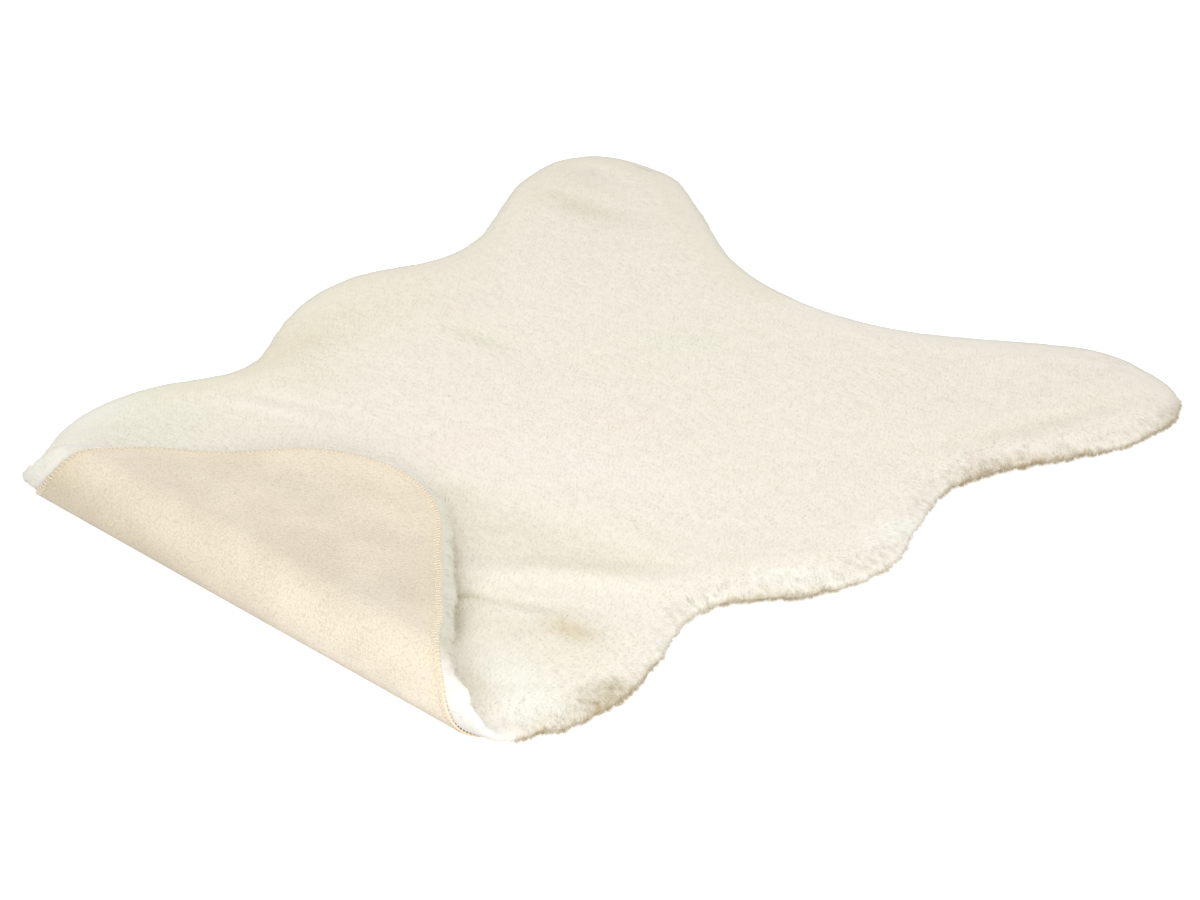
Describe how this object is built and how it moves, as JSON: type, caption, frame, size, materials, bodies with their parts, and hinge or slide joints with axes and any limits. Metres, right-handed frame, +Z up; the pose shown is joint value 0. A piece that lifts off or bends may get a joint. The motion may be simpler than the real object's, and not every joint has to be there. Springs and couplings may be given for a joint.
{
  "type": "hide-shaped imitation-fur rug with one end folded over",
  "caption": "Cream imitation-fur rug cut to the outline of an animal hide, lying fur side up, its head end turned back over itself to show a beige suede-look backing.",
  "frame": {"origin": "on the floor, under the middle of the rug as it lies", "axes": "+Y along the spine from the folded head end to the hind legs, +X across the rug, +Z up"},
  "size_m": [0.6108, 0.6674, 0.048],
  "materials": {
    "pile": "short dense cream imitation-fur pile, matt with a soft sheen",
    "suede": "matt beige suede-look cloth with a fine pebbled grain, cream overlock stitching round its edge"
  },
  "bodies": {
    "root": {"fur": "pile", "backing": "suede"}
  },
  "joints": []
}
